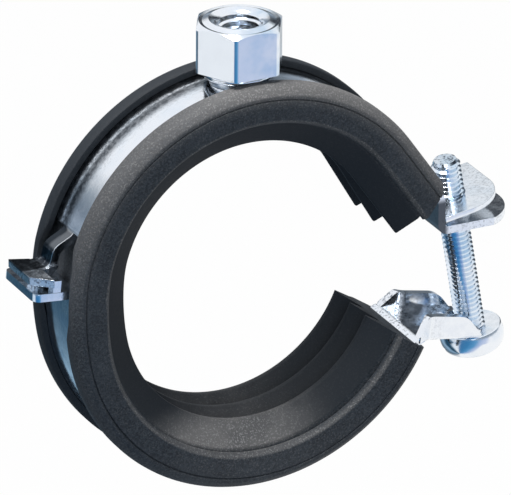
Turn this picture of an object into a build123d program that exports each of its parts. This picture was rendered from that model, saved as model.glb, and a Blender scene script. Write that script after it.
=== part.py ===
from build123d import *
import os
from math import asin, cos, degrees, radians, sin, tan

os.makedirs("parts", exist_ok=True)

# Hinged pipe clamp with a rubber lining, in millimetres. The origin is the centre of the upper half
# ring. +Z goes up through the connection nut and +Y along the pipe. The hinge is at -X and the closing
# screw at +X. The lower half is drawn as closed and stands opened by open_angle about the hinge.

# Strip steel of both half rings
strip_thickness = 1.6
strip_width = 19.0
ring_inner_radius = 36.9
bend_radius = 1.4

# Lower half: place of its centre when closed, and how far it stands open
closed_shift = 1.11
closed_rise = 0.51
open_angle = 5.3

# Hinge end of the upper band: a neck that widens into a hook plate, with a tongue under it
neck_rise = 7.13
neck_lead = 1.33
neck_offset = 2.85
neck_lean = 1.12
neck_height = 3.85
neck_width = 5.6
neck_bend_radius = 2.0
neck_top = 11.4
neck_shoulder_width = 10.0
neck_shoulder_top = 13.5
strip_edge_start = 18.5
t_plate_reach = 6.1
t_shoulder_reach = 2.35
t_plate_near = 8.4
t_plate_tip_near = 5.0
t_plate_tip_far = 4.5
t_plate_far = 3.0
tongue_reach = 2.25
tongue_width = 4.4
tongue_thickness = 1.2
tongue_length = 2.1
tongue_clearance = 0.3

# Hinge: the turning axis lies between the hook plate and the flange under it
pivot_reach = 3.95
pivot_height = 5.42
hinge_gap = 1.55
flange_reach = 1.9
flange_width = 14.0
flange_angle = 178.0
flange_corner_radius = 1.5
flange_slot_clearance = 0.5
flange_edge_drop = 1.3
lug_height = 2.4
lug_width = 2.0
lug_inset = 0.1
lug_clearance = 0.4

# Closure ear of the upper band
closure_angle = 35.0
closure_offset = 1.7
closure_bend_radius = 3.0
tray_height = 2.8
tray_end_radius = 10.8
tray_corner_radius = 1.5

# Forked ear of the lower band, a channel with an open slot
fork_angle = -24.7
fork_lead = 2.8
fork_droop = 3.1
fork_length = 15.7
fork_width = 14.0
fork_flare_start = 0.2
fork_flare_run = 3.6
fork_flare_round = 3.0
channel_corner_cut = 0.7
fork_wall_height = 3.65
fork_wall_fall = 0.5
fork_wall_run = 11.9
fork_wall_start = 0.8
fork_wall_lean = 3.4
fork_wall_corner = 1.0
fork_wall_round = 4.0
fork_slot_depth = 7.6
fork_slot_clearance = 0.65

# Closing screw and its thread plate
screw_radius = 2.95
screw_tilt = 9.8
screw_offset = 6.66
screw_tip_length = 7.4
screw_tip_chamfer = 0.6
head_bearing_radius = 6.1
head_rim_radius = 6.4
head_rim_depth = 1.6
head_shoulder_radius = 5.3
head_shoulder_depth = 4.5
head_round_radius = 4.0
head_height = 5.5
head_slot_width = 1.6
head_slot_depth = 2.2
head_slot_turn = -8.0
head_clearance = 0.15
plate_thickness = 1.1
plate_lift = 2.5
plate_width = 17.8
plate_reach = 8.6
plate_near_corner = 8.2
plate_far_corner = 7.0
plate_gap = 0.25
plate_collar_wall = 0.95
plate_collar_length = 3.0
thread_clearance = 0.05
tray_hole_clearance = 0.3

# Connection nut, welded on by its collar
nut_across_flats = 16.0
nut_height = 9.8
nut_edge_radius = 1.2
nut_top_radius = 7.15
nut_chamfer_angle = 30.0
weld_gap_height = 2.7
weld_collar_radius = 6.5
weld_collar_height = 0.5
lip_clearance = 0.2
large_thread_radius = 4.25
large_thread_depth = 6.5
small_thread_radius = 3.4
thread_relief_height = 1.2
thread_relief_width = 0.8
countersink_depth = 1.0
seat_clearance = 0.05

# Rubber lining
seat_radius = 27.13
lining_wall = 1.17
lining_base = 5.4
lining_side_drop = 3.84
lining_side_rise = 0.2
lip_thickness = 1.5
lip_width = 4.67
lip_round = 1.5
lip_inner_round = 0.5
bead_width = 1.27
bead_rise = 0.86
rib_pitch = 6.55
rib_first = 5.37
rib_slope = 3.4
rib_crest = 1.0
rib_back = 0.9
rib_count = 3
channel_clearance = 0.08
lining_parting = 0.15
hinge_overrun = 12.0
upper_end_run = 13.5
upper_end_lean = 0.336
upper_end_skew = 0.148
lower_end_angle = -22.1
lower_end_lean = 0.203
end_trim = 9.0
lip_notch_clearance = 0.3
lip_notch_drop = 4.1
lip_notch_inset = 0.5

# Worked out from the sizes above
ring_radius = ring_inner_radius + strip_thickness / 2
ring_outer_radius = ring_inner_radius + strip_thickness
half_strip = strip_width / 2
lining_width = strip_width + 2 * lining_wall
strip_cut = 2 * strip_thickness
fork_wall_tip_round = strip_thickness / 4
cutter_width = 2 * strip_width
tray_span = 2 * tray_end_radius
neck_x = -(ring_radius + neck_offset)
pivot_x = neck_x - pivot_reach
flange_line = -(hinge_gap + strip_thickness) / 2
t_plate_height = pivot_height - flange_line
neck_angle = 180 - degrees(asin((t_plate_height + neck_rise) / ring_radius))
closure_x = ring_radius + closure_offset


def heading(angle):
    return Vector(cos(radians(angle)), sin(radians(angle)))


# Side view of the upper half: x and z. Side view of the lower half: along and up from the hinge axis,
# drawn closed.
side_view = Plane.XZ
open_tilt = heading(-open_angle)
lower_side = Plane(origin=(pivot_x, 0, pivot_height), x_dir=(open_tilt.X, 0, open_tilt.Y), z_dir=(0, -1, 0))
lower_plan = Plane(origin=lower_side.origin, x_dir=lower_side.x_dir, z_dir=lower_side.y_dir)
lower_centre = Vector(closed_shift - pivot_x, closed_rise - pivot_height)

# Side view of the screw: x across and y up along the tilted axis, from the top of the thread plate
screw_x = closure_x + screw_offset
plate_top = tray_height + strip_thickness / 2 + plate_lift
screw_across = heading(screw_tilt)
screw_side = Plane(
    origin=(screw_x, 0, plate_top),
    x_dir=(screw_across.X, 0, screw_across.Y),
    z_dir=(0, -1, 0),
)
screw_axis = Axis(screw_side.origin, screw_side.y_dir)
screw_plan = Plane(origin=screw_side.origin, x_dir=screw_side.x_dir, z_dir=screw_side.y_dir)


# Upper band: middle line of the folded strip, from the hook plate over the ring to the flat ear
ring_leave = ring_radius * heading(neck_angle)
neck_shoulder = ring_leave + neck_lead * heading(neck_angle + 90)
neck_knee = Vector(neck_x + neck_lean, t_plate_height + neck_height)
t_root = Vector(neck_x, t_plate_height)
t_tip = Vector(neck_x - t_plate_reach, t_plate_height)
closure_start = ring_radius * heading(closure_angle)
closure_heading = heading(closure_angle - 90)
closure_run = (closure_x - closure_start.X) / closure_heading.X
closure_corner = closure_start + closure_run * closure_heading
tray_corner = Vector(closure_x, tray_height)
tray_end = Vector(screw_x + tray_end_radius, tray_height)
t_shoulder_x = neck_x - t_shoulder_reach
t_top = t_plate_height + strip_thickness / 2
tongue_x = neck_x - tongue_reach
flange_bottom = pivot_height + flange_line - strip_thickness / 2
tongue_foot = flange_bottom - tongue_clearance - tongue_thickness / 2
collar_radius = screw_radius + plate_collar_wall

# Plan of the ear: a disc about the screw, cut to the width of the strip
with BuildSketch() as ear_outline:
    with Locations((screw_x, 0)):
        Circle(tray_end_radius)
        Rectangle(tray_span, strip_width, mode=Mode.INTERSECT)
    fillet(ear_outline.vertices(), radius=tray_corner_radius)

with BuildPart() as upper_band:
    with BuildSketch(side_view):
        with BuildLine():
            FilletPolyline(
                t_tip, t_root, neck_knee, neck_shoulder, ring_leave,
                radius=[neck_bend_radius, neck_bend_radius, closure_bend_radius],
            )
            CenterArc((0, 0), ring_radius, closure_angle, neck_angle - closure_angle)
            FilletPolyline(
                closure_start, closure_corner, tray_corner, tray_end,
                radius=[closure_bend_radius, bend_radius],
            )
        trace(line_width=strip_thickness)
    extrude(amount=half_strip, both=True)
    # The strip narrows to the neck above the hook plate
    with BuildSketch(Plane.YZ.offset(-ring_inner_radius / 2)):
        with BuildLine():
            Polyline(
                (neck_width / 2, t_top),
                (neck_width / 2, neck_top),
                (neck_shoulder_width / 2, neck_shoulder_top),
                (half_strip, strip_edge_start),
                (strip_width, strip_edge_start),
                (strip_width, t_top),
                close=True,
            )
        make_face()
        mirror(about=Plane.YZ)
    extrude(amount=-ring_radius, mode=Mode.SUBTRACT)
    # Plan of the hook plate, wider on the near side
    with BuildSketch(Plane.XY.offset(t_top)):
        with Locations(((t_tip.X + neck_x) / 2, 0)):
            Rectangle(2 * t_plate_reach, strip_width + strip_thickness)
        with BuildLine():
            Polyline(
                (neck_x + t_plate_reach, neck_width / 2),
                (t_shoulder_x, neck_width / 2),
                (t_shoulder_x, t_plate_far),
                (t_tip.X, t_plate_tip_far),
                (t_tip.X, -t_plate_tip_near),
                (t_shoulder_x, -t_plate_near),
                (t_shoulder_x, -neck_width / 2),
                (neck_x + t_plate_reach, -neck_width / 2),
                close=True,
            )
        make_face(mode=Mode.SUBTRACT)
    extrude(amount=-strip_cut, mode=Mode.SUBTRACT)
    # Tongue through the slot of the lower flange
    with BuildSketch(side_view):
        with BuildLine():
            FilletPolyline(
                (tongue_x, t_plate_height),
                (tongue_x, tongue_foot),
                (tongue_x - tongue_length, tongue_foot),
                radius=tongue_thickness,
            )
        trace(line_width=tongue_thickness)
    extrude(amount=tongue_width / 2, both=True)
    # Outer end of the ear, round about the screw
    with BuildSketch(Plane.XY.offset(tray_height)):
        with Locations((screw_x, 0)):
            Rectangle(tray_span, cutter_width, align=(Align.MIN, Align.CENTER))
        add(ear_outline.sketch, mode=Mode.SUBTRACT)
    extrude(amount=strip_thickness, both=True, mode=Mode.SUBTRACT)
    # Passage for the collar of the thread plate, along the tilted screw
    with BuildSketch(screw_plan.offset(-plate_lift)):
        Circle(collar_radius + tray_hole_clearance)
    extrude(amount=strip_cut, both=True, mode=Mode.SUBTRACT)

upper_band.part.label = "upper_band"
export_step(upper_band.part, "parts/upper_band.step")


# Lower band: middle line of the folded strip, from the hinge flange round the ring to the forked ear
flange_start = lower_centre + ring_radius * heading(flange_angle)
flange_climb = heading(flange_angle - 90)
flange_root = flange_start + (flange_line - flange_start.Y) / flange_climb.Y * flange_climb
flange_tip = Vector(-flange_reach, flange_line)
fork_start = lower_centre + ring_radius * heading(fork_angle)
fork_root = fork_start + fork_lead * heading(fork_angle + 90)
fork_tip = fork_root + fork_length * heading(-fork_droop)
fork_along = heading(-fork_droop - open_angle)
fork_side = Plane(
    origin=lower_side.from_local_coords(fork_root),
    x_dir=(fork_along.X, 0, fork_along.Y),
    z_dir=(0, -1, 0),
)
fork_plan = Plane(origin=fork_side.origin, x_dir=fork_side.x_dir, z_dir=fork_side.y_dir)
fork_slot_radius = screw_radius + fork_slot_clearance
fork_slot_end = fork_length - fork_slot_depth + fork_slot_radius
tongue_along = tongue_x - pivot_x
lug_along = t_shoulder_x - pivot_x + lug_clearance + strip_thickness / 2
lug_across = flange_width / 2 - lug_inset - lug_width / 2

# Side walls of the fork: they flare out to the edges of the strip where they leave the lining
wall_foot = -strip_thickness / 2
wall_top = strip_thickness / 2 + fork_wall_height
wall_across = (fork_width - strip_thickness) / 2
fork_flare_end = fork_flare_start + fork_flare_run
floor_edge = fork_width / 2 - channel_corner_cut

with BuildPart() as fork_walls:
    with BuildSketch(fork_plan.offset(wall_foot)):
        with BuildLine():
            FilletPolyline(
                (fork_flare_start, half_strip - strip_thickness / 2),
                (fork_flare_end, wall_across),
                (fork_length, wall_across),
                radius=fork_flare_round,
            )
        trace(line_width=strip_thickness)
        mirror(about=Plane.XZ)
    extrude(amount=wall_top - wall_foot)
    wall_feet = fork_walls.faces().sort_by(Axis(fork_side.origin, fork_side.y_dir))[:2].edges()
    outer_feet = wall_feet.filter_by(lambda edge: abs(edge.center().Y) > wall_across + thread_clearance)
    chamfer(outer_feet.filter_by(lambda edge: edge.length > strip_cut), length=channel_corner_cut)
    with BuildSketch(fork_side):
        with BuildLine():
            outline = FilletPolyline(
                (fork_flare_start - fork_wall_start, wall_foot),
                (fork_flare_start - fork_wall_start + fork_wall_lean, wall_top),
                (fork_wall_run, wall_top - fork_wall_fall),
                (fork_length, 0),
                (fork_length, wall_foot),
                radius=[fork_wall_corner, fork_wall_round, fork_wall_tip_round],
            )
            Line(outline @ 1, outline @ 0)
        make_face()
    extrude(amount=strip_width, both=True, mode=Mode.INTERSECT)

with BuildPart() as lower_band:
    with BuildSketch(lower_side):
        with BuildLine():
            FilletPolyline(flange_tip, flange_root, flange_start, radius=bend_radius)
            CenterArc(lower_centre, ring_radius, flange_angle, 360 + fork_angle - flange_angle)
            FilletPolyline(fork_start, fork_root, fork_tip, radius=bend_radius)
        trace(line_width=strip_thickness)
    extrude(amount=half_strip, both=True)
    # The flange is narrower than the strip, with rounded corners
    with BuildSketch(lower_plan.offset(flange_line - flange_edge_drop)):
        Rectangle(2 * flange_root.X + 2 * bend_radius, strip_width + strip_thickness)
        with Locations((flange_root.X - flange_reach, 0)):
            RectangleRounded(2 * flange_root.X, flange_width, flange_corner_radius, mode=Mode.SUBTRACT)
    extrude(amount=strip_thickness + flange_edge_drop, mode=Mode.SUBTRACT)
    # Slot for the tongue, and the lug that holds the shoulder of the hook plate
    with BuildSketch(lower_plan.offset(flange_line)):
        with Locations((tongue_along, 0)):
            Rectangle(tongue_thickness + 2 * flange_slot_clearance, tongue_width + 2 * flange_slot_clearance)
    extrude(amount=strip_thickness, both=True, mode=Mode.SUBTRACT)
    with BuildSketch(lower_plan.offset(flange_line)):
        with Locations((lug_along, -lug_across)):
            Rectangle(strip_thickness, lug_width)
    extrude(amount=strip_thickness / 2 + lug_height)
    # Beyond the lining the strip narrows to the channel
    with BuildSketch(fork_plan):
        with BuildLine():
            Polyline(
                (fork_flare_start, half_strip),
                (fork_flare_end, floor_edge),
                (2 * fork_length, floor_edge),
                (2 * fork_length, strip_width),
                (fork_flare_start, strip_width),
                close=True,
            )
        make_face()
        mirror(about=Plane.XZ)
    extrude(amount=strip_cut, both=True, mode=Mode.SUBTRACT)
    add(fork_walls.part)
    # Open slot for the screw
    with BuildSketch(fork_plan):
        with Locations((fork_slot_end, 0)):
            Circle(fork_slot_radius)
            Rectangle(fork_slot_depth, 2 * fork_slot_radius, align=(Align.MIN, Align.CENTER))
    extrude(amount=strip_cut, both=True, mode=Mode.SUBTRACT)

lower_band.part.label = "lower_band"
export_step(lower_band.part, "parts/lower_band.step")


# Connection nut: hexagon with a countersunk M10 thread over an M8 thread, on a flared weld collar.
# The narrow thread ends in a cone above the strip
nut_base = ring_outer_radius + weld_gap_height
lip_radius = ring_outer_radius + lip_thickness
lip_inner = lining_width / 2 - lip_width
weld_neck_radius = lip_inner - lip_clearance
nut_top = nut_base + nut_height
nut_cone_drop = (nut_across_flats - nut_top_radius) * tan(radians(nut_chamfer_angle))

with BuildPart() as connection_nut:
    with BuildSketch(Plane.XY.offset(nut_base)):
        RegularPolygon(nut_across_flats / 2, 6, major_radius=False)
    extrude(amount=nut_height)
    fillet(connection_nut.edges().filter_by(Axis.Z), radius=nut_edge_radius)
    # The top corners are cut by a cone
    with BuildSketch(side_view):
        with BuildLine():
            Polyline(
                (nut_top_radius, nut_top),
                (nut_across_flats, nut_top),
                (nut_across_flats, nut_top - nut_cone_drop),
                close=True,
            )
        make_face()
    revolve(axis=Axis.Z, mode=Mode.SUBTRACT)
    with BuildSketch(side_view):
        with BuildLine():
            Polyline(
                (0, ring_radius),
                (weld_neck_radius, ring_radius),
                (weld_neck_radius, lip_radius + lip_clearance),
                (weld_collar_radius, nut_base - weld_collar_height),
                (weld_collar_radius, nut_base),
                (0, nut_base),
                close=True,
            )
        make_face()
    revolve(axis=Axis.Z)
    with BuildSketch(side_view):
        Circle(ring_outer_radius + seat_clearance)
    extrude(amount=strip_width, both=True, mode=Mode.SUBTRACT)
    with BuildSketch(side_view):
        with BuildLine():
            Polyline(
                (0, ring_radius),
                (small_thread_radius + thread_relief_width, ring_radius),
                (small_thread_radius, ring_outer_radius + thread_relief_height),
                (small_thread_radius, nut_top - large_thread_depth),
                (large_thread_radius, nut_top - large_thread_depth),
                (large_thread_radius, nut_top - countersink_depth),
                (large_thread_radius + countersink_depth, nut_top),
                (0, nut_top),
                close=True,
            )
        make_face()
    revolve(axis=Axis.Z, mode=Mode.SUBTRACT)

connection_nut.part.label = "connection_nut"
export_step(connection_nut.part, "parts/connection_nut.step")


# Thread plate: lies square to the screw, with its drawn collar reaching down through the ear
plate_inner = (closure_x + strip_thickness / 2 + plate_gap - screw_x) / screw_across.X
plate_length = plate_reach - plate_inner

with BuildPart() as thread_plate:
    with BuildSketch(screw_plan.offset(-plate_thickness)):
        with Locations((plate_inner, 0)):
            Rectangle(plate_length, plate_width, align=(Align.MIN, Align.CENTER))
        plate_corners = vertices().group_by(Axis.X)[-1].sort_by(Axis.Y)
        fillet(plate_corners[0], radius=plate_near_corner)
        fillet(plate_corners[-1], radius=plate_far_corner)
    extrude(amount=plate_thickness)
    with BuildSketch(screw_plan.offset(-plate_thickness)):
        Circle(collar_radius)
    extrude(amount=-plate_collar_length)
    with BuildSketch(screw_plan):
        Circle(screw_radius + thread_clearance)
    extrude(amount=-2 * (plate_thickness + plate_collar_length), mode=Mode.SUBTRACT)

thread_plate.part.label = "thread_plate"
export_step(thread_plate.part, "parts/thread_plate.step")


# Closing screw: its head bears on the tips of the fork from below
fork_lip = fork_side.from_local_coords(Vector(fork_length, -strip_thickness / 2))
head_top = screw_side.to_local_coords(fork_lip).Y - head_clearance
head_bottom = head_top - head_height
dome_height = head_height - head_shoulder_depth
dome_radius = (head_shoulder_radius**2 + dome_height**2) / (2 * dome_height)
head_rim = Vector(head_rim_radius, head_top - head_rim_depth)
head_shoulder = Vector(head_shoulder_radius, head_top - head_shoulder_depth)

with BuildPart() as closing_screw:
    with BuildSketch(screw_side):
        with BuildLine():
            Polyline(
                (0, head_bottom),
                (0, screw_tip_length),
                (screw_radius - screw_tip_chamfer, screw_tip_length),
                (screw_radius, screw_tip_length - screw_tip_chamfer),
                (screw_radius, head_top),
                (head_bearing_radius, head_top),
                head_rim,
            )
            RadiusArc(head_rim, head_shoulder, head_round_radius)
            RadiusArc(head_shoulder, (0, head_bottom), dome_radius)
        make_face()
    revolve(axis=screw_axis)
    with BuildSketch(screw_plan.offset(head_bottom)):
        Rectangle(3 * head_rim_radius, head_slot_width, rotation=head_slot_turn)
    extrude(amount=head_slot_depth, mode=Mode.SUBTRACT)

closing_screw.part.label = "closing_screw"
export_step(closing_screw.part, "parts/closing_screw.step")


# Section of the lining: x is the distance from the ring's axis, y runs along the pipe
valley_radius = ring_inner_radius - lining_base
side_radius = ring_inner_radius - lining_side_drop
edge_radius = ring_outer_radius - lining_side_rise
channel_inner = ring_inner_radius - channel_clearance
channel_outer = ring_outer_radius + channel_clearance
channel_half = half_strip + channel_clearance
lining_half = lining_width / 2
bead_radius = side_radius - bead_rise


def lining_section(plane):
    ribs = []
    for number in range(rib_count):
        crest = number * rib_pitch - rib_first
        ribs.append((valley_radius, crest - rib_slope))
        ribs.append((seat_radius, crest))
        ribs.append((seat_radius, crest + rib_crest))
        ribs.append((valley_radius, crest + rib_crest + rib_back))
    with BuildSketch(plane) as section:
        with BuildLine():
            channel = Polyline(
                (side_radius, lining_half),
                (edge_radius, lining_half),
                (lip_radius, lining_half - lip_round),
                (lip_radius, lip_inner + lip_inner_round),
                (channel_outer, lip_inner),
                (channel_outer, channel_half),
                (channel_inner, channel_half),
                (channel_inner, -channel_half),
                (channel_outer, -channel_half),
                (channel_outer, -lip_inner),
                (lip_radius, -lip_inner - lip_inner_round),
                (lip_radius, lip_round - lining_half),
                (edge_radius, -lining_half),
                (side_radius, -lining_half),
                (bead_radius, bead_width - lining_half),
            )
            Polyline(channel @ 1, *ribs, channel @ 0)
        make_face()
    return section.sketch


def section_plane(view, centre, angle):
    outward = heading(angle)
    centre_point = view.from_local_coords(centre)
    direction = view.from_local_coords(centre + outward) - centre_point
    return Plane(origin=centre_point, x_dir=direction, z_dir=direction.cross(Vector(0, 1, 0)))


# Upper lining: round part from above the hinge to the ear, then straight along the strip
upper_centre = Vector(0, 0)
upper_turn = neck_angle + hinge_overrun - closure_angle
upper_section = lining_section(section_plane(side_view, upper_centre, closure_angle))
end_outward = heading(closure_angle)
end_normal = closure_heading + upper_end_lean * end_outward
end_point = closure_start + upper_end_run * closure_heading
upper_end = Plane(origin=(end_point.X, -lining_half, end_point.Y), z_dir=(end_normal.X, upper_end_skew, end_normal.Y))

with BuildPart() as upper_lining:
    revolve(upper_section, axis=Axis((0, 0, 0), (0, -1, 0)), revolution_arc=upper_turn)
    extrude(upper_section, amount=-upper_end_run - end_trim)
    with BuildSketch(side_view):
        with Locations((0, pivot_height + lining_parting)):
            Rectangle(2 * ring_radius, ring_radius, align=(Align.MAX, Align.MAX))
    extrude(amount=strip_width, both=True, mode=Mode.SUBTRACT)
    split(bisect_by=upper_end, keep=Keep.BOTTOM)

upper_lining.part.label = "upper_lining"
export_step(upper_lining.part, "parts/upper_lining.step")


# Lower lining: from under the hinge round to the ear
lower_start = flange_angle - hinge_overrun
lower_turn = 360 + lower_end_angle + hinge_overrun - lower_start
lower_section = lining_section(section_plane(lower_side, lower_centre, lower_start))
lower_axis = Axis(lower_side.from_local_coords(lower_centre), (0, -1, 0))
lower_outward = heading(lower_end_angle)
lower_end_origin = lower_centre + ring_outer_radius * lower_outward
lower_normal = heading(lower_end_angle + 90) + lower_end_lean * lower_outward

with BuildPart() as lower_lining:
    revolve(lower_section, axis=lower_axis, revolution_arc=lower_turn)
    # Parting at the hinge, level when closed
    with BuildSketch(lower_side):
        with Locations((lower_centre.X, -lining_parting)):
            Rectangle(2 * ring_radius, ring_radius, align=(Align.MAX, Align.MIN))
    extrude(amount=strip_width, both=True, mode=Mode.SUBTRACT)
    # The lips are notched where the flange leaves the ring
    with BuildSketch(lower_side):
        with Locations((flange_root.X + lip_notch_inset, 0)):
            Rectangle(ring_radius, 2 * lip_notch_drop, align=(Align.MAX, Align.CENTER))
    extrude(amount=flange_width / 2 + lip_notch_clearance, both=True, mode=Mode.SUBTRACT)
    # Near the hinge the ribs are cut back to the seat in the upper half, so that the pipe can enter
    with BuildSketch(side_view):
        Circle(seat_radius)
    extrude(amount=lining_width, both=True, mode=Mode.SUBTRACT)
    # End at the ear
    end_origin = lower_side.from_local_coords(lower_end_origin)
    end_target = lower_side.from_local_coords(lower_end_origin + lower_normal)
    split(bisect_by=Plane(origin=end_origin, z_dir=end_target - end_origin), keep=Keep.BOTTOM)

lower_lining.part.label = "lower_lining"
export_step(lower_lining.part, "parts/lower_lining.step")
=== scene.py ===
from math import cos, pi, radians, sin

import bmesh
import bpy
from mathutils import Matrix, Vector, noise
from mathutils.geometry import tessellate_polygon


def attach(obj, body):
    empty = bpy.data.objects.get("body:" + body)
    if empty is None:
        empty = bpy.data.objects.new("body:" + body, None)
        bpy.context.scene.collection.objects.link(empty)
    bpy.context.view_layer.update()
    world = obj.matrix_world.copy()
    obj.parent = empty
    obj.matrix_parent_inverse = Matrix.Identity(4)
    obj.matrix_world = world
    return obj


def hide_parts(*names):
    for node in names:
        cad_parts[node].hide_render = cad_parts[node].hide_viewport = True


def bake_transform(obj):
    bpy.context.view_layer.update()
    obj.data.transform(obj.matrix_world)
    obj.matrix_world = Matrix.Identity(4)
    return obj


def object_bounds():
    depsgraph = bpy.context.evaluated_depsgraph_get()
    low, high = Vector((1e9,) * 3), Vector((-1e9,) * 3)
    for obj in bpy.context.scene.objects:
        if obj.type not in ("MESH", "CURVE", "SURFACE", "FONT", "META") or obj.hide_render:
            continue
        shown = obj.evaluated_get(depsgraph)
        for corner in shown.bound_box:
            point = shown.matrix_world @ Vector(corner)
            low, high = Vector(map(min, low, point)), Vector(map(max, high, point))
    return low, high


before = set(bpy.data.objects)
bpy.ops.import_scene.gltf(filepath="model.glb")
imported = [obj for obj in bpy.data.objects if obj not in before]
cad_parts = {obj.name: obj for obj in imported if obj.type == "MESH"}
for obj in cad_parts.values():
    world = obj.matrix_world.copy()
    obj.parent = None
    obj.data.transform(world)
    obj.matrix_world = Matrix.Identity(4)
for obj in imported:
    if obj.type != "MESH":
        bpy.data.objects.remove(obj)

cadLow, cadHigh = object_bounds()
mm = 0.001
white = (1.0, 1.0, 1.0, 1.0)
print("frame loaded:", len(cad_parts), "nodes")


# Shader maths

class Signal:
    def __init__(self, finish, socket):
        self.finish = finish
        self.socket = socket

    def join(self, operation, first, second):
        made = self.finish.node("ShaderNodeMath", {"operation": operation}, {0: first, 1: second})
        return Signal(self.finish, made.outputs[0])

    def __add__(self, other):
        return self.join("ADD", self, other)

    def __sub__(self, other):
        return self.join("SUBTRACT", self, other)

    def __rsub__(self, other):
        return self.join("SUBTRACT", other, self)

    def __mul__(self, other):
        return self.join("MULTIPLY", self, other)

    __radd__ = __add__
    __rmul__ = __mul__

    def limited(self):
        return self.join("MAXIMUM", self.join("MINIMUM", self, 1.0), 0.0)


class Nodes:
    def __init__(self, tree):
        self.tree = tree

    def feed(self, socket, value):
        if isinstance(value, Signal):
            value = value.socket
        if isinstance(value, bpy.types.NodeSocket):
            self.tree.links.new(value, socket)
        else:
            socket.default_value = value

    def node(self, kind, settings=None, inputs=None):
        made = self.tree.nodes.new(kind)
        for key, value in (settings or {}).items():
            if key == "stops":
                setStops(made.color_ramp, value)
            else:
                setattr(made, key, value)
        for key, value in (inputs or {}).items():
            self.feed(made.inputs[key], value)
        return made

    def mixed(self, share, first, second):
        made = self.node("ShaderNodeMix", {"data_type": "RGBA"}, {0: share, 6: first, 7: second})
        return made.outputs[2]


class Finish(Nodes):
    def __init__(self, name):
        self.material = bpy.data.materials.new(name)
        self.material.use_nodes = True
        super().__init__(self.material.node_tree)
        self.shader = self.tree.nodes["Principled BSDF"]
        self.place = self.node("ShaderNodeTexCoord").outputs["Object"]

    def axes(self):
        parts = self.node("ShaderNodeSeparateXYZ", None, {0: self.place})
        return [Signal(self, parts.outputs[i]) for i in range(3)]

    def grain(self, scale, detail=3.0, rough=0.6):
        made = self.node("ShaderNodeTexNoise", None,
                         {"Vector": self.place, "Scale": scale, "Detail": detail, "Roughness": rough})
        return Signal(self, made.outputs["Fac"])

    def band(self, value, low, high):  # 0 up to low, 1 from high on
        made = self.node("ShaderNodeMapRange", {"interpolation_type": "SMOOTHSTEP"},
                         {"Value": value, "From Min": low, "From Max": high})
        return Signal(self, made.outputs["Result"])

    def length(self, first, second):
        square = first * first + second * second
        return square.join("POWER", square, 0.5)

    def bump(self, height, strength, distance):
        made = self.node("ShaderNodeBump", None,
                         {"Height": height, "Strength": strength, "Distance": distance})
        return made.outputs["Normal"]

    def paint(self, **sockets):
        for key, value in sockets.items():
            self.feed(self.shader.inputs[key.replace("_", " ")], value)
        return self.material


def setStops(ramp, stops):
    while len(ramp.elements) < len(stops):
        ramp.elements.new(1.0)
    for element, (position, colour) in zip(ramp.elements, stops):
        element.position = position
        element.color = colour


# Finishes: places in metres, each band from where a mask is 0 to where it is 1

rubberFinish = {
    "pale": (0.036, 0.043, 0.052, 1.0),
    "deep": (0.007, 0.010, 0.014, 1.0),
    "dust": (0.34, 0.33, 0.32, 1.0),
    "crest": (0.150, 0.142, 0.136, 1.0),
    "cloud": (110.0, 4.0),  # scale and detail
    "cloudBand": (0.30, 0.70),
    "cloudShare": 0.30,
    "speck": (2300.0, 2.0, 0.8),  # scale, detail and roughness
    "speckBand": (0.34, 0.66),
    "speckShare": 0.80,
    "dustGrain": (2645.0, 3.0, 0.8),
    "dustBand": (0.52, 0.64),
    "earRun": (0.5736, 0.8192),  # the straight end's direction, along +x and -z
    "lowerCentre": (0.00046, -0.00368),
    "halfBand": (-0.003, 0.003),  # from the lower half's ring to the upper one's
    "innerBand": (0.0316, 0.0325),
    "topBand": (-0.012, 0.030),
    "lowBand": (-0.030, -0.040),
    "rearBand": (0.001, 0.007),
    # rear ring and its share: painted shadow at the base of the rear lip
    "rearShadeRing": (0.0372, 0.0380),
    "rearShadeShare": 0.80,
    # top front crest: lifted there as painted light, and dust is laid on it too
    "crestBand": (0.0352, 0.0392),
    "crestSide": (-0.024, 0.004),
    "crestLeast": 0.50,
    "flankBand": (-0.024, -0.033),
    "flankRing": (0.0318, 0.0328),
    "flankSide": (-0.001, 0.019),
    "flankFade": (-0.0050, -0.0030),
    "flankFadeShare": 0.65,
    "edgeRing": (0.0322, 0.0329),
    "edgeEnd": (0.0331, 0.0335),
    "edgeSide": (-0.0102, -0.0095),
    # share of painted shade on the inner ribbed faces
    "innerShadeShare": 0.92,
    # shares of the lift towards the crest colour: painted light on the top front crest and the lower rib
    # flanks, a little more along the front inner edge and towards the bottom
    "tint": {"crestLightAndDust": 0.62, "flank": 0.62, "flankCloud": 0.6, "edge": 0.32, "low": 0.10},
    "dusting": {"all": 0.10, "low": 0.06, "crestLightAndDust": 0.34, "flank": 0.60, "edge": 0.35, "inner": 0.8},
    "roughness": 0.55,
    "speckRough": 0.25,
    "cloudRelief": 0.6,
    "relief": (0.35, 0.00008),  # strength and distance
    "shine": 0.32,
}


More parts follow.
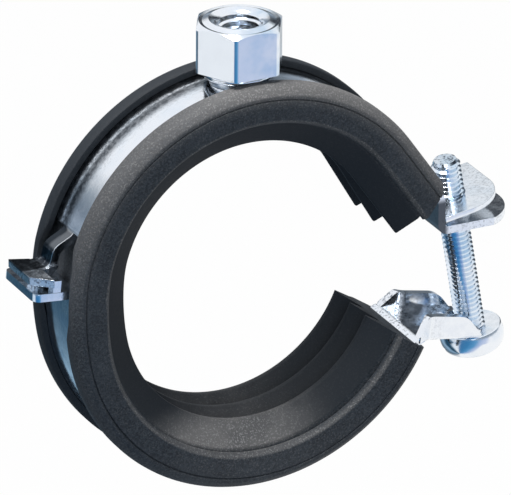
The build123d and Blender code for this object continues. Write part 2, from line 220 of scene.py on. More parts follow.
def makeRubber():
    f = Finish("ribbed rubber")
    s = rubberFinish
    tint, dusting, (runX, runZ) = s["tint"], s["dusting"], s["earRun"]
    x, y, z = f.axes()
    cloud = f.band(f.grain(*s["cloud"]), *s["cloudBand"])
    speck = f.grain(*s["speck"])
    share = s["cloudShare"] * cloud + s["speckShare"] * f.band(speck, *s["speckBand"])
    body = f.mixed(share.limited(), s["deep"], s["pale"])

    along, across = x * runX - z * runZ, x * runZ + z * runX
    upper = f.length(across, along.join("MINIMUM", along, 0.0))
    lower = f.length(x - s["lowerCentre"][0], z - s["lowerCentre"][1])
    half = f.band(z, *s["halfBand"])
    ring = upper * half + lower * (1.0 - half)

    inner = 1.0 - f.band(ring, *s["innerBand"])
    top, low, rear = f.band(z, *s["topBand"]), f.band(z, *s["lowBand"]), f.band(y, *s["rearBand"])
    # Top front crest, stronger towards +x: its lift towards the crest colour is painted light, and it also
    # carries dust
    side = s["crestLeast"] + (1.0 - s["crestLeast"]) * f.band(x, *s["crestSide"])
    crestLightAndDust = f.band(ring, *s["crestBand"]) * top * (1.0 - rear) * side
    # Lower inner rib flanks, facing up, less on the right and towards the rear: their lift towards the crest
    # colour is painted light, and they also carry dust
    flank = f.band(z, *s["flankBand"]) * (1.0 - f.band(ring, *s["flankRing"]))
    flank = flank * (1.0 - f.band(x, *s["flankSide"]))
    flank = flank * (1.0 - f.band(y, *s["flankFade"]) * s["flankFadeShare"])
    edge = f.band(ring, *s["edgeRing"]) * (1.0 - f.band(ring, *s["edgeEnd"]))
    edge = edge * (1.0 - f.band(y, *s["edgeSide"]))

    # Painted shade: the inner ribbed faces darkened towards the deep colour, except the lower rib flanks;
    # less dust is laid there
    shaded = inner * (1.0 - flank)
    dark = f.mixed((shaded * s["innerShadeShare"]).limited(), body, s["deep"])
    share = crestLightAndDust * tint["crestLightAndDust"] + flank * (tint["flank"] + tint["flankCloud"] * cloud)
    share = share + edge * tint["edge"] + low * tint["low"]
    tinted = f.mixed(share.limited(), dark, s["crest"])
    dust = f.band(f.grain(*s["dustGrain"]), *s["dustBand"])
    share = dusting["all"] + dusting["low"] * low + dusting["crestLightAndDust"] * crestLightAndDust
    share = share + dusting["flank"] * flank + dusting["edge"] * edge
    dusty = dust * share * (1.0 - shaded * dusting["inner"])
    colour = f.mixed(dusty.limited(), tinted, s["dust"])
    # Painted shadow: the base of the rear lip darkened to the deep colour
    colour = f.mixed((rear * f.band(ring, *s["rearShadeRing"]) * s["rearShadeShare"]).limited(), colour, s["deep"])
    return f.paint(Base_Color=colour, Roughness=s["roughness"] + s["speckRough"] * speck,
                   Normal=f.bump(speck + s["cloudRelief"] * cloud, *s["relief"]),
                   Specular_IOR_Level=s["shine"])


zincFinish = {
    "bright": (0.86, 0.89, 0.93, 1.0),
    "blue": (0.62, 0.74, 0.86, 1.0),
    "dark": (0.10, 0.12, 0.15, 1.0),
    "black": (0.018, 0.026, 0.036, 1.0),
    "coat": (1500.0, 5.0, 0.72),
    "coatBand": (0.50, 0.60),
    "cloud": (130.0, 3.0),
    "cloudBand": (0.35, 0.70),
    "brush": (420.0, 2.0),
    "brushBand": (0.35, 0.70),
    "roughness": 0.09,
    "brushRough": 0.10,
    "speckRough": 0.10,
    "brushRelief": 2.0,
    "relief": (0.13, 0.00006),
}


def makeZinc(name, blueShare, speckShare, shade=None):
    f = Finish(name)
    s = zincFinish
    x, y, z = f.axes()
    coat, cloud, brush = f.grain(*s["coat"]), f.grain(*s["cloud"]), f.grain(*s["brush"])
    blue = f.band(cloud, *s["cloudBand"]) * blueShare(x, y, z)
    tint = f.mixed(blue.limited(), s["bright"], s["blue"])
    specks = f.band(coat, *s["coatBand"]) * speckShare(x, y, z).limited()
    colour = f.mixed(specks, tint, s["dark"])
    if shade:
        colour = f.mixed(shade(f, x, y, z).limited(), colour, s["black"])
    rough = s["roughness"] + s["brushRough"] * f.band(brush, *s["brushBand"]) + s["speckRough"] * specks
    return f.paint(Base_Color=colour, Metallic=1.0, Roughness=rough,
                   Normal=f.bump(coat + s["brushRelief"] * brush, *s["relief"]))


blueShares = {
    "upper": (0.35, 30.0),  # share at y = 0 and its rise towards the rear
    "lower": (0.55, 12.0),  # share at x = 0 and its fall towards the screw
    "plate": 0.35,
    # nut: painted reflection, bluer towards its +x and -y faces
    "nut": (150.0, 60.0, 0.35, 1.3),
    "screw": 1.1,
}
# Dark specks of the upper strip, thicker towards the rear and on the hook's top, where they are painted shade
# and painted dark reflection over the coat's own specks; thicker also lower down
upperSpotsAndShade = {
    "rear": (160.0, 0.25, 0.75),
    "ends": (0.010, 120.0, 0.35),
    "hook": (-0.0415, 600.0, 0.6),
}
lowerSpots = {
    "fork": (0.030, 120.0),
    "tip": (0.039, 260.0),
    "wall": (0.0072, 900.0),
    "share": 0.85,
    "least": 0.10,
}
plateSpots = (0.047, 40.0, 0.05)
nutSpots = (0.0408, 200.0)
screwSpots = (0.0125, 900.0, 0.12)


# Mask of the dark specks, with painted shade towards the rear and painted dark reflection on the hook's top
def upperSpecksAndShade(x, y, z):
    slope, base, share = upperSpotsAndShade["rear"]
    rear = (y * slope + base) * share
    start, slope, endShare = upperSpotsAndShade["ends"]
    ends = (start - z) * slope
    start, slope, hookShare = upperSpotsAndShade["hook"]
    hook = (start - x) * slope
    return rear.limited() + ends.limited() * endShare + hook.limited() * hookShare


def lowerSpecks(x, y, z):
    s = lowerSpots
    fork, tip = ((x - s[key][0]) * s[key][1] for key in ("fork", "tip"))
    wall = (y + s["wall"][0]) * s["wall"][1]
    return ((fork.limited() - tip.limited()) * s["share"] + s["least"]) * wall.limited()


shades = {
    "bend": ((0.0412, 0.0400), (0.030, 0.034), (0.0100, 0.0085), 0.90),  # x, x, z, share
    "stem": ((-0.0345, -0.0355), (0.0142, 0.0134), (0.0072, 0.0076), (-0.0021, -0.0018), 0.85),
    "hook": ((-0.0395, -0.0415), (0.0072, 0.0076), 0.35),
    "mottle": (900.0, 4.0, 0.7),
    "mottleBand": (0.40, 0.58),
    "rearSide": (-0.0004, 0.0022),
    "rearHeight": (0.008, 0.016),
    "rearShadeShare": (0.74, 0.20),
    "streak": ((0.0028, 0.0036), (0.0052, 0.0040)),
    "streakShare": (0.25, 0.55),
}


def upperShade(f, x, y, z):
    s = shades
    mottle = f.band(f.grain(*s["mottle"]), *s["mottleBand"])
    outer, inner, under, bendShare = s["bend"]
    bend = f.band(x, *outer) * f.band(x, *inner) * f.band(z, *under)
    left, over, under, front, stemShare = s["stem"]
    stem = f.band(x, *left) * f.band(z, *over) * f.band(z, *under) * f.band(y, *front)
    left, under, hookShare = s["hook"]
    hook = f.band(x, *left) * f.band(z, *under) * mottle
    least, more = s["rearShadeShare"]
    rear = f.band(y, *s["rearSide"]) * f.band(z, *s["rearHeight"]) * (least + more * mottle)
    least, more = s["streakShare"]
    streak = f.band(y, *s["streak"][0]) * f.band(y, *s["streak"][1])
    rear = rear * (1.0 - streak * (least + more * mottle))
    return bend * bendShare + stem * stemShare + hook * hookShare + rear


def upperBlue(x, y, z):
    base, rise = blueShares["upper"]
    return base + y * rise


def lowerBlue(x, y, z):
    base, fall = blueShares["lower"]
    return base - x * fall


# Painted reflection: the nut's blue tint rises towards its +x and -y faces
def nutBlue(x, y, z):
    slopeX, slopeY, base, share = blueShares["nut"]
    return (x * slopeX - y * slopeY + base).limited() * share


def makeFinishes():
    return {
        "rubber": makeRubber(),
        "upper": makeZinc("zinc upper strip", upperBlue, upperSpecksAndShade, upperShade),
        "lower": makeZinc("zinc lower strip", lowerBlue, lowerSpecks),
        "plate": makeZinc("zinc plate", lambda x, y, z: blueShares["plate"],
                          lambda x, y, z: (x - plateSpots[0]) * plateSpots[1] + plateSpots[2]),
        "nut": makeZinc("zinc nut", nutBlue, lambda x, y, z: (nutSpots[0] - z) * nutSpots[1]),
        "screw": makeZinc("zinc screw", lambda x, y, z: blueShares["screw"],
                          lambda x, y, z: (z - screwSpots[0]) * screwSpots[1] + screwSpots[2]),
    }


# Pieces

def newObject(name, data):
    made = bpy.data.objects.new(name, data)
    bpy.context.scene.collection.objects.link(made)
    return made


def newPiece(name, mesh, material, body):
    mesh.materials.clear()
    mesh.materials.append(material)
    piece = newObject(name, mesh)
    if body:
        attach(piece, body)
    return piece


def newMesh(name, points, faces):
    mesh = bpy.data.meshes.new(name)
    mesh.from_pydata(points, [], faces)
    return mesh


def facedOut(mesh, merge=0.0):
    work = bmesh.new()
    work.from_mesh(mesh)
    if merge:
        bmesh.ops.remove_doubles(work, verts=work.verts, dist=merge)
    bmesh.ops.recalc_face_normals(work, faces=work.faces)
    work.to_mesh(mesh)
    work.free()
    return mesh


def ringFaces(rings, count):  # faces between neighbouring rings of count points each
    faces = []
    for i in range(rings - 1):
        for k in range(count):
            j = (k + 1) % count
            faces.append((i * count + k, i * count + j, (i + 1) * count + j, (i + 1) * count + k))
    return faces


def applied(piece):
    graph = bpy.context.evaluated_depsgraph_get()
    mesh = bpy.data.meshes.new_from_object(piece.evaluated_get(graph), depsgraph=graph)
    bpy.data.objects.remove(piece)
    return mesh


def smoothed(mesh, angle):
    for face in mesh.polygons:
        face.use_smooth = True
    mesh.set_sharp_from_angle(angle=radians(angle))
    return mesh


def addCut(piece, cutter):
    cut = piece.modifiers.new("cut", "BOOLEAN")
    cut.object = cutter
    cut.solver = "EXACT"


def addEdge(piece, width, corner):  # width in the mesh's own unit, corner in degrees
    bevel = piece.modifiers.new("edge radius", "BEVEL")
    bevel.width = width
    bevel.segments = 2
    bevel.limit_method = "ANGLE"
    bevel.angle_limit = radians(corner)


edges = {"merge": 0.004, "flat": 0.4, "corner": 33.0}


def roundedNode(node, width, shape=None, cutters=()):
    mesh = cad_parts[node].data.copy()
    work = bmesh.new()
    work.from_mesh(mesh)
    if shape:
        shape(work)
    bmesh.ops.remove_doubles(work, verts=work.verts, dist=edges["merge"] * mm)
    bmesh.ops.dissolve_limit(work, angle_limit=radians(edges["flat"]), verts=work.verts, edges=work.edges)
    for face in work.faces:
        face.smooth = True
    work.to_mesh(mesh)
    work.free()
    rough = newObject(node + " work", mesh)
    for cutter in cutters:
        addCut(rough, cutter)
    addEdge(rough, width * mm, edges["corner"])
    shade = rough.modifiers.new("flat faces", "WEIGHTED_NORMAL")
    shade.keep_sharp = True
    result = applied(rough)
    for cutter in cutters:
        bpy.data.objects.remove(cutter)
    return result


def prism(name, outline, low, high):  # outline in x and z, low to high along y
    count = len(outline)
    points = [Vector((x, y, z)) * mm for y in (low, high) for x, z in outline]
    faces = [tuple(range(count)), tuple(range(2 * count - 1, count - 1, -1))]
    faces += [(k, count + k, count + (k + 1) % count, (k + 1) % count) for k in range(count)]
    return newObject(name, facedOut(newMesh(name, points, faces)))


# Strips: the two steel halves and the ear's plate

neck = {"angle": 159.0, "inner": 34.0, "outer": 52.0, "foot": 8.0, "half": 2.1, "reach": 14.0}
strips = (  # piece, node, body, edge radius in millimetres, finish
    ("upper_strip", "upper_band", "upper", 0.16, "upper"),
    ("lower_strip", "lower_band", "lower", 0.16, "lower"),
    ("ear_plate", "thread_plate", "upper", 0.14, "plate"),
)


def neckCutters():
    s = neck
    angle = radians(s["angle"])
    outline = [(-s["outer"], s["foot"]), (-s["inner"], s["foot"])]
    outline += [(r * cos(angle), r * sin(angle)) for r in (s["inner"], s["outer"])]
    sides = ((-s["reach"], -s["half"]), (s["half"], s["reach"]))
    return [prism("neck side", outline, low, high) for low, high in sides]


def makeStrips(finishes):
    for name, node, body, width, key in strips:
        cutters = neckCutters() if node == "upper_band" else ()
        piece = newPiece(name, roundedNode(node, width, None, cutters), finishes[key], body)
        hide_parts(node)
    print("strips done")


# Lining: one rubber profile round both halves, sizes in millimetres

lining = {
    "half": 10.67,
    "side": 33.06,
    "edge": 38.30,
    "groove": 37.46,
    "grooveDepth": 0.28,
    "grooveWidth": 0.22,
    "crest": 40.0,
    "lipStart": 9.2,
    "lipEnd": 6.0,
    "notch": 7.5,  # half width between the lips beside the hook
    "notchFrom": 167.0,  # degrees round the ring, as all the angles here
    "notchTo": 180.0,
    "notchRamp": 5.0,
    "channel": 9.55,
    "channelOuter": 38.55,
    "channelInner": 36.85,
    "bead": (9.4, 32.2),
    "beadGroove": ((-8.35, 31.9), (-8.6, 33.0), (-9.05, 33.0)),
    "valley": 31.5,
    "seat": 27.13,
    "ribs": (-5.37, 1.18, 7.73),
    "ribSlope": 3.4,
    "ribCrest": 1.0,
    "ribBack": 0.9,
    "ribRound": 0.3,
    "sideRound": 0.35,
    "edgeRound": 0.7,
    "crestRound": 1.0,
    "lipRound": 0.55,
    "grooveRound": 0.12,
    "ring": 37.7,
    "earAngle": 35.0,
    "earRun": 13.5,
    "earSteps": 12,
    "earLean": 0.336,  # the end's slope over the radius
    "earSkew": 0.148,  # and over y
    "hang": 1.1,
    "lowerCentre": (0.46, -3.68),
    "hingeFrom": 164.0,
    "hingeTo": 196.0,
    "lowerEnd": 333.8,
    "leanFrom": 300.0,
    "leanRadius": 38.5,
    "lowerLean": 0.133,
    "step": 1.5,
    "smooth": 30.0,
    "bendStart": (-0.036, 0.0, 0.0022),
    "bendEnd": (-0.036, 0.0, -0.006),
}


def softOutline(corners, steps=3):  # rounds each corner by its third number
    outline = []
    count = len(corners)
    for i, (y, r, soft) in enumerate(corners):
        here = Vector((y, r))
        before = Vector(corners[i - 1][:2]) - here
        after = Vector(corners[(i + 1) % count][:2]) - here
        if soft == 0:
            outline.append(here)
            continue
        reach = min(soft, 0.45 * before.length, 0.45 * after.length)
        first, last = here + before.normalized() * reach, here + after.normalized() * reach
        for k in range(steps + 1):
            t = k / steps
            outline.append(first * (1 - t) ** 2 + here * (2 * t * (1 - t)) + last * t ** 2)
    return outline


def liningOutline(lipEnd):
    s = lining
    half, groove, depth, wide = s["half"], s["groove"], s["grooveDepth"], s["grooveWidth"]
    corners = [(-half, s["side"], s["sideRound"])]
    for side in (-1, 1):
        run = [
            (side * half, groove - wide, 0),
            (side * (half - depth), groove, 0),
            (side * half, groove + wide, 0),
            (side * half, s["edge"], s["edgeRound"]),
            (side * s["lipStart"], s["crest"], s["crestRound"]),
            (side * lipEnd, s["crest"], s["lipRound"]),
            (side * lipEnd, s["channelOuter"], 0),
            (side * s["channel"], s["channelOuter"], 0),
            (side * s["channel"], s["channelInner"], 0),
        ]
        corners += run if side < 0 else run[::-1]
    corners.append((half, s["side"], s["sideRound"]))
    for crest in reversed(s["ribs"]):
        corners += [
            (crest + s["ribCrest"] + s["ribBack"], s["valley"], s["ribRound"]),
            (crest + s["ribCrest"], s["seat"], s["ribRound"]),
            (crest, s["seat"], s["ribRound"]),
        ]
        if crest > s["ribs"][0]:
            corners.append((crest - s["ribSlope"], s["valley"], s["ribRound"]))
    corners += [(y, r, s["grooveRound"]) for y, r in s["beadGroove"]]
    corners.append((-s["bead"][0], s["bead"][1], s["ribRound"]))
    return softOutline(corners)


def liningStations():
    s = lining
    start, end, step = s["earAngle"], s["lowerEnd"], s["step"]
    turns = [start + k * step for k in range(int((end - start) / step))]
    straight = [("straight", 1 - k / s["earSteps"]) for k in range(s["earSteps"])]
    return straight + [("round", t) for t in turns + [end]]


def liningPoint(kind, value, y, r):
    s = lining
    if kind == "straight":
        angle = radians(s["earAngle"])
        run = s["earRun"] - s["earLean"] * (r - s["ring"]) - s["earSkew"] * (y + s["half"])
        if r < s["valley"] and y > 0:
            r -= s["hang"] * value * (s["valley"] - r) / (s["valley"] - s["seat"])
        shift = value * run
        return Vector((r * cos(angle) + shift * sin(angle), y, r * sin(angle) - shift * cos(angle)))
    t = min(max((value - s["hingeFrom"]) / (s["hingeTo"] - s["hingeFrom"]), 0), 1)
    share = t * t * (3 - 2 * t)
    near = max(0.0, (value - s["leanFrom"]) / (s["lowerEnd"] - s["leanFrom"]))
    angle = radians(value) + near * s["lowerLean"] * (s["leanRadius"] - r) / r
    cx, cz = s["lowerCentre"][0] * share, s["lowerCentre"][1] * share
    return Vector((cx + r * cos(angle), y, cz + r * sin(angle)))


def makeLining(finishes):
    s = lining
    plain = liningOutline(s["lipEnd"])
    stations = liningStations()
    count = len(plain)
    points = []
    for kind, value in stations:
        share = 0
        if kind == "round":
            inside = min(value - s["notchFrom"], s["notchTo"] - value)
            share = min(max(inside / s["notchRamp"] + 1, 0), 1)
        outline = liningOutline(s["lipEnd"] + share * (s["notch"] - s["lipEnd"])) if share else plain
        points += [liningPoint(kind, value, y, r) * mm for y, r in outline]
    cap = tessellate_polygon([[Vector((p.x, p.y, 0)) for p in plain]])
    last = (len(stations) - 1) * count
    faces = ringFaces(len(stations), count)
    faces += [tuple(t) for t in cap] + [tuple(last + k for k in reversed(t)) for t in cap]
    mesh = smoothed(facedOut(newMesh("lining", points, faces)), s["smooth"])
    piece = newPiece("rubber_lining", mesh, finishes["rubber"], None)
    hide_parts("upper_lining", "lower_lining")
    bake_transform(piece)
    print("lining done:", len(mesh.polygons), "faces")


# Threads: one tree of geometry nodes, a triangular ridge along a helix

thread = {"steps": 40, "sides": 3, "smooth": 25.0}


def threadTree():
    tree = bpy.data.node_groups.new("helical thread", "GeometryNodeTree")
    kinds = [("Geometry", "Geometry")]
    kinds += [(name, "Float") for name in ("Turns", "Radius", "Height", "Ridge", "Outward")]
    kinds.append(("Material", "Material"))
    for name, kind in kinds:
        tree.interface.new_socket(name=name, in_out="INPUT", socket_type="NodeSocket" + kind)
    tree.interface.new_socket(name="Geometry", in_out="OUTPUT", socket_type="NodeSocketGeometry")
    new, link = tree.nodes.new, tree.links.new
    given, result = new("NodeGroupInput"), new("NodeGroupOutput")
    spiral, upright = new("GeometryNodeCurveSpiral"), new("GeometryNodeSetCurveNormal")
    ridge, turned = new("GeometryNodeCurvePrimitiveCircle"), new("GeometryNodeTransform")
    flip, sweep = new("ShaderNodeCombineXYZ"), new("GeometryNodeCurveToMesh")
    real, coat = new("GeometryNodeRealizeInstances"), new("GeometryNodeSetMaterial")
    spiral.inputs["Resolution"].default_value = thread["steps"]
    upright.mode = "Z_UP"
    ridge.inputs["Resolution"].default_value = thread["sides"]
    flip.inputs["Y"].default_value = 1.0
    flip.inputs["Z"].default_value = 1.0
    sweep.inputs["Fill Caps"].default_value = True
    for source, target in (
        (given.outputs["Turns"], spiral.inputs["Rotations"]),
        (given.outputs["Radius"], spiral.inputs["Start Radius"]),
        (given.outputs["Radius"], spiral.inputs["End Radius"]),
        (given.outputs["Height"], spiral.inputs["Height"]),
        (spiral.outputs[0], upright.inputs["Curve"]),
        (given.outputs["Ridge"], ridge.inputs["Radius"]),
        (given.outputs["Outward"], flip.inputs["X"]),
        (ridge.outputs[0], turned.inputs["Geometry"]),
        (flip.outputs[0], turned.inputs["Scale"]),
        (upright.outputs[0], sweep.inputs["Curve"]),
        (turned.outputs[0], sweep.inputs["Profile Curve"]),
        (sweep.outputs[0], real.inputs["Geometry"]),
        (real.outputs[0], coat.inputs["Geometry"]),
        (given.outputs["Material"], coat.inputs["Material"]),
        (coat.outputs[0], result.inputs["Geometry"]),
    ):
        link(source, target)
    return tree


def threadMesh(tree, settings, material):
    holder = newObject("thread work", bpy.data.meshes.new("thread work"))
    modifier = holder.modifiers.new("thread", "NODES")
    modifier.node_group = tree
    identifiers = {item.name: item.identifier for item in tree.interface.items_tree if item.in_out == "INPUT"}
    for name, value in settings.items():
        modifier[identifiers[name]] = value
    modifier[identifiers["Material"]] = material
    return smoothed(facedOut(applied(holder)), thread["smooth"])


# Turned pieces: an outline spun about the upright axis, radii and heights in millimetres

spin = {"count": 72, "merge": 0.0005}


def spunMesh(name, outline, count=spin["count"]):
    points = []
    for r, h in outline:
        turns = [2 * pi * k / count for k in range(count)]
        points += [Vector((r * cos(t), r * sin(t), h)) for t in turns]
    return facedOut(newMesh(name, points, ringFaces(len(outline), count)), spin["merge"])


screw = {
    "top": (46.06, 0.0, 6.1),
    "tilt": 9.8,
    "tip": 7.4,
    "chamfer": 0.75,
    "tipCone": ((1.0, 0.0), (0.55, 0.28)),  # drop from the tip and gain in radius
    "sink": 0.5,  # of the shank in the head
    "core": 2.42,
    "outer": 2.95,
    "ridge": 0.56,
    "pitch": 1.0,
    "bearing": -29.67,
    "bearingRadius": 6.1,
    "bearingEdge": (0.2, 0.15),
    "rim": (6.4, -1.6),
    "shoulder": (5.3, -4.5),
    "height": 5.5,
    "arcSteps": 8,
    "slotLength": 20.0,
    "slotWidth": 1.6,
    "slotDepth": 2.2,
    "slotTurn": -8.0,
    "edge": (0.18, 40.0),
    "smooth": 28.0,
}


def screwPlace():
    turn = Matrix.Rotation(radians(-screw["tilt"]), 4, "Y")
    return Matrix.Translation(Vector(screw["top"]) * mm) @ turn @ Matrix.Scale(mm, 4)


def headOutline():
    s = screw
    top, steps, (rimR, rimH), (shoulderR, shoulderH) = s["bearing"], s["arcSteps"], s["rim"], s["shoulder"]
    inset, drop = s["bearingEdge"]
    reach = s["bearingRadius"]
    outline = [(0.0, top), (reach - inset, top), (reach, top - drop), (rimR, top + rimH)]
    arc = [radians(90) * k / steps for k in range(1, steps + 1)]
    outline += [(rimR - (rimR - shoulderR) * (1 - cos(t)), top + rimH + (shoulderH - rimH) * sin(t))
                for t in arc]
    outline += [(shoulderR * cos(t), top + shoulderH - (s["height"] + shoulderH) * sin(t)) for t in arc]
    return outline


def slotCutter():
    s = screw
    mesh = bpy.data.meshes.new("slot")
    work = bmesh.new()
    bmesh.ops.create_cube(work, size=1.0)
    work.to_mesh(mesh)
    work.free()
    place = Matrix.Translation((0, 0, s["bearing"] - s["height"]))
    turn = Matrix.Rotation(radians(s["slotTurn"]), 4, "Z")
    mesh.transform(place @ turn @ Matrix.Diagonal((s["slotLength"], s["slotWidth"], 2 * s["slotDepth"], 1.0)))
    return newObject("slot work", mesh)


def makeScrew(finishes, tree):
    s = screw
    head, cutter = newObject("head work", spunMesh("screw head", headOutline())), slotCutter()
    addCut(head, cutter)
    addEdge(head, *s["edge"])
    headMesh = applied(head)
    bpy.data.objects.remove(cutter)

    tip, core, foot, end = s["tip"], s["core"], s["bearing"] - s["sink"], s["outer"] - s["chamfer"]
    (neckDrop, neckGain), (coneDrop, coneGain) = s["tipCone"]
    shank = spunMesh("screw shank", [
        (0.0, foot), (core, foot), (core + neckGain, tip - neckDrop),
        (end + coneGain, tip - coneDrop), (end, tip), (0.0, tip)])
    height = tip - s["chamfer"] - s["bearing"]
    ridges = threadMesh(tree, {"Turns": height / s["pitch"], "Radius": s["outer"] - s["ridge"],
                               "Height": height, "Ridge": s["ridge"], "Outward": -1.0}, finishes["screw"])
    ridges.transform(Matrix.Translation((0, 0, s["bearing"])))
    mesh = bpy.data.meshes.new("screw")
    work = bmesh.new()
    for part in (headMesh, shank, ridges):
        work.from_mesh(part)
    work.to_mesh(mesh)
    work.free()
    mesh.transform(screwPlace())
    piece = newPiece("threaded_screw", smoothed(mesh, s["smooth"]), finishes["screw"], "screw")
    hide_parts("closing_screw")
    print("screw done:", len(mesh.polygons), "faces")


nut = {
    "top": 51.0,
    "topSlack": 0.05,
    "slopeFrom": 6.0,
    "slopeDrop": 0.50,
    "mouth": (5.0, 5.9),  # the mouth's edge lies outside the first radius and goes to the second
    "edge": 0.14,
    "wide": {"radius": 4.25, "from": 44.7, "to": 49.9, "pitch": 1.5, "ridge": 0.62},
    "narrow": {"radius": 3.4, "from": 39.4, "to": 44.3, "pitch": 1.25, "ridge": 0.5},
    "root": 0.1,
    "flashRadius": 6.5,
    "flashHeight": 40.55,
    "flashSize": 0.80,
    "flashSteps": (16, 96),
    "lumps": ((0.55, 0.30), (1.6, 0.05)),  # scale and size of each noise
    "lumpOut": 0.8,
    "lumpUp": 0.5,
    "sag": 0.04,
    "smooth": 60.0,
}


def slopeTop(work):
    s = nut
    for v in work.verts:
        reach = Vector(v.co[:2]).length
        if v.co.z <= (s["top"] - s["topSlack"]) * mm:
            continue
        if reach > s["slopeFrom"] * mm:
            v.co.z -= s["slopeDrop"] * mm
        elif reach > s["mouth"][0] * mm:
            v.co.x *= s["mouth"][1] * mm / reach
            v.co.y *= s["mouth"][1] * mm / reach


def makeNut(finishes, tree):
    mesh = roundedNode("connection_nut", nut["edge"], slopeTop)
    body = newPiece("connection_hexagon", mesh, finishes["nut"], "upper")
    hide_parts("connection_nut")
    for name in ("wide", "narrow"):
        s = nut[name]
        height = s["to"] - s["from"]
        mesh = threadMesh(tree, {"Turns": height / s["pitch"], "Radius": s["radius"] + nut["root"],
                                 "Height": height, "Ridge": s["ridge"], "Outward": 1.0}, finishes["nut"])
        mesh.transform(Matrix.Scale(mm, 4) @ Matrix.Translation((0, 0, s["from"])))
        newPiece(name + "_thread", mesh, finishes["nut"], "upper")
    s = nut
    steps, count = s["flashSteps"]
    turns = [2 * pi * k / steps for k in range(steps + 1)]
    outline = [(s["flashRadius"] + s["flashSize"] * cos(t), s["flashHeight"] + s["flashSize"] * sin(t))
               for t in turns]
    flash = spunMesh("weld flash", outline, count)
    for v in flash.vertices:
        lump = sum(noise.noise(v.co * scale) * size for scale, size in s["lumps"])
        out = Vector((v.co.x, v.co.y, 0)).normalized()
        v.co += out * lump * s["lumpOut"] + Vector((0, 0, lump * s["lumpUp"] - s["sag"] * abs(v.co.x)))
    flash.transform(Matrix.Scale(mm, 4))
    newPiece("weld_flash", smoothed(flash, s["smooth"]), finishes["nut"], "upper")
    print("nut done")


# Stage, light and camera

view = {
    "azimuth": -26.45,
    "elevation": 23.92,
    "roll": 0.38,
    "distance": 1.53357,
    "lens": 559.0,
    "sensor": 36.0,
    "clip": (0.05, 20.0),
    "target": (0.00378, 0.0, 0.00238),
}
lamps = (  # name, place, size, power, colour
    ("key", (-0.20, -0.05, 0.85), 0.45, 12.0, (1.0, 0.99, 0.98)),
    ("front", (-0.30, -0.80, 0.25), 0.50, 1.3, (0.80, 0.90, 1.0)),
)
floor = {
    "half": 9.0,
    "drop": 0.075,
    "colour": (0.30, 0.31, 0.32, 1.0),
    "roughness": 0.9,
    "seen": 0.985,
}
floorCards = [  # what the metal mirrors, by the turn round the upright axis
    (0.00, (0.95, 0.97, 1.00, 1.0)),
    (0.045, (0.90, 0.93, 0.97, 1.0)),
    (0.085, (0.06, 0.20, 0.40, 1.0)),
    (0.16, (0.05, 0.22, 0.44, 1.0)),
    (0.23, (0.11, 0.33, 0.58, 1.0)),
    (0.28, (0.46, 0.56, 0.78, 1.0)),
    (0.33, (0.60, 0.67, 0.84, 1.0)),
    (0.37, (0.97, 0.98, 1.00, 1.0)),
    (0.60, (1.00, 1.00, 1.00, 1.0)),
    (0.70, (0.10, 0.15, 0.20, 1.0)),
    (0.79, (0.30, 0.46, 0.60, 1.0)),
    (0.85, (0.02, 0.06, 0.10, 1.0)),
    (0.92, (0.03, 0.10, 0.17, 1.0)),
    (0.98, (0.90, 0.93, 0.96, 1.0)),
]
nearCard = {"inner": 0.25, "outer": 0.31, "from": 0.285, "to": 0.325, "fadeFrom": 0.55, "fadeTo": 0.62}
skyAmbient = (0.26, 0.31, 0.37, 1.0)
skyCards = [  # by height, from the horizon up
    (0.00, (0.36, 0.42, 0.50, 1.0)),
    (0.15, (0.22, 0.26, 0.30, 1.0)),
    (0.30, (0.035, 0.04, 0.05, 1.0)),
    (0.42, (0.05, 0.055, 0.065, 1.0)),
    (0.49, (0.66, 0.71, 0.74, 1.0)),
    (0.54, (0.98, 0.99, 1.00, 1.0)),
    (1.00, (0.92, 0.95, 1.00, 1.0)),
]
leftEdge = (0.32, 0.10)
leftCards = [
    (0.00, (0.36, 0.42, 0.50, 1.0)),
    (0.10, (0.16, 0.20, 0.25, 1.0)),
    (0.20, (0.30, 0.35, 0.40, 1.0)),
    (0.33, (0.97, 0.98, 1.00, 1.0)),
    (1.00, (0.92, 0.95, 1.00, 1.0)),
]


def makeCamera():
    turn, rise, roll = radians(view["azimuth"]), radians(view["elevation"]), radians(view["roll"])
    back = Vector((sin(turn) * cos(rise), -cos(turn) * cos(rise), sin(rise)))
    across = Vector((cos(turn), sin(turn), 0))
    above = back.cross(across)
    right = across * cos(roll) + above * sin(roll)
    up = above * cos(roll) - across * sin(roll)
    data = bpy.data.cameras.new("camera")
    data.lens = view["lens"]
    data.sensor_width = view["sensor"]
    data.clip_start, data.clip_end = view["clip"]
    camera = newObject("camera", data)
    place = Matrix((right, up, back)).transposed().to_4x4()
    place.translation = Vector(view["target"]) + back * view["distance"]
    camera.matrix_world = place
    bpy.context.scene.camera = camera


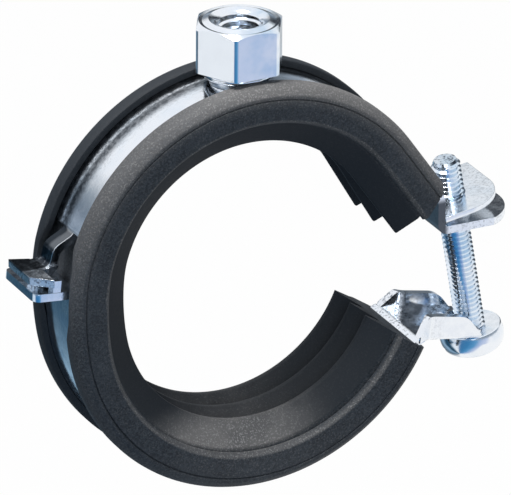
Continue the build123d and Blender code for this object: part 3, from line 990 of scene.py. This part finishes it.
def makeFloor():
    half, low, card = floor["half"], cadLow.z - floor["drop"], nearCard
    corners = [(-half, -half, low), (half, -half, low), (half, half, low), (-half, half, low)]
    mesh = newMesh("floor", corners, [(0, 1, 2, 3)])
    f = Finish("pale floor")
    ray = f.node("ShaderNodeLightPath")
    seen, glossy = Signal(f, ray.outputs["Is Camera Ray"]), Signal(f, ray.outputs["Is Glossy Ray"])
    f.paint(Base_Color=floor["colour"], Roughness=floor["roughness"])
    sweep = f.node("ShaderNodeTexGradient", {"gradient_type": "RADIAL"}, {"Vector": f.place})
    turn = Signal(f, sweep.outputs["Fac"])
    cards = f.node("ShaderNodeValToRGB", {"stops": floorCards}, {"Fac": turn})
    x, y, z = f.axes()
    close = 1.0 - f.band(f.length(x, y), card["inner"], card["outer"])
    close = close * f.band(turn, card["from"], card["to"])
    close = close * (1.0 - f.band(turn, card["fadeFrom"], card["fadeTo"]))
    colour = f.mixed((seen + close).limited(), cards.outputs[0], white)
    glow = f.node("ShaderNodeEmission", None, {"Color": colour, "Strength": 1.0})
    share = (seen * floor["seen"] + glossy).limited()
    mix = f.node("ShaderNodeMixShader", None, {0: share, 1: f.shader.outputs[0], 2: glow.outputs[0]})
    f.feed(f.tree.nodes["Material Output"].inputs["Surface"], mix.outputs[0])
    mesh.materials.append(f.material)
    newObject("floor", mesh)


def makeWorld():
    world = bpy.data.worlds.new("studio")
    bpy.context.scene.world = world
    world.use_nodes = True
    w = Nodes(world.node_tree)
    ray, place = w.node("ShaderNodeLightPath"), w.node("ShaderNodeTexCoord")
    parts = w.node("ShaderNodeSeparateXYZ", None, {0: place.outputs["Generated"]})
    ramps = [w.node("ShaderNodeValToRGB", {"stops": cards}, {0: parts.outputs["Z"]}).outputs[0]
             for cards in (skyCards, leftCards)]
    side = w.node("ShaderNodeMapRange", None,
                  {"From Min": leftEdge[0], "From Max": leftEdge[1], "Value": parts.outputs["X"]})
    colour = w.mixed(side.outputs[0], *ramps)
    for path, shade in (("Is Diffuse Ray", skyAmbient), ("Is Camera Ray", white)):
        colour = w.mixed(ray.outputs[path], colour, shade)
    w.feed(w.tree.nodes["Background"].inputs["Color"], colour)


def makeLamps():
    for name, place, size, power, colour in lamps:
        data = bpy.data.lights.new(name, "AREA")
        data.shape = "DISK"
        data.size = size
        data.energy = power
        data.color = colour
        lamp = newObject(name, data)
        lamp.location = place
        lamp.rotation_euler = Vector(place).to_track_quat("Z", "Y").to_euler()


bpy.context.scene.view_settings.view_transform = "Standard"
finishes = makeFinishes()
tree = threadTree()
makeStrips(finishes)
makeLining(finishes)
makeScrew(finishes, tree)
makeNut(finishes, tree)
makeCamera()
makeFloor()
makeWorld()
makeLamps()
print("scene done")
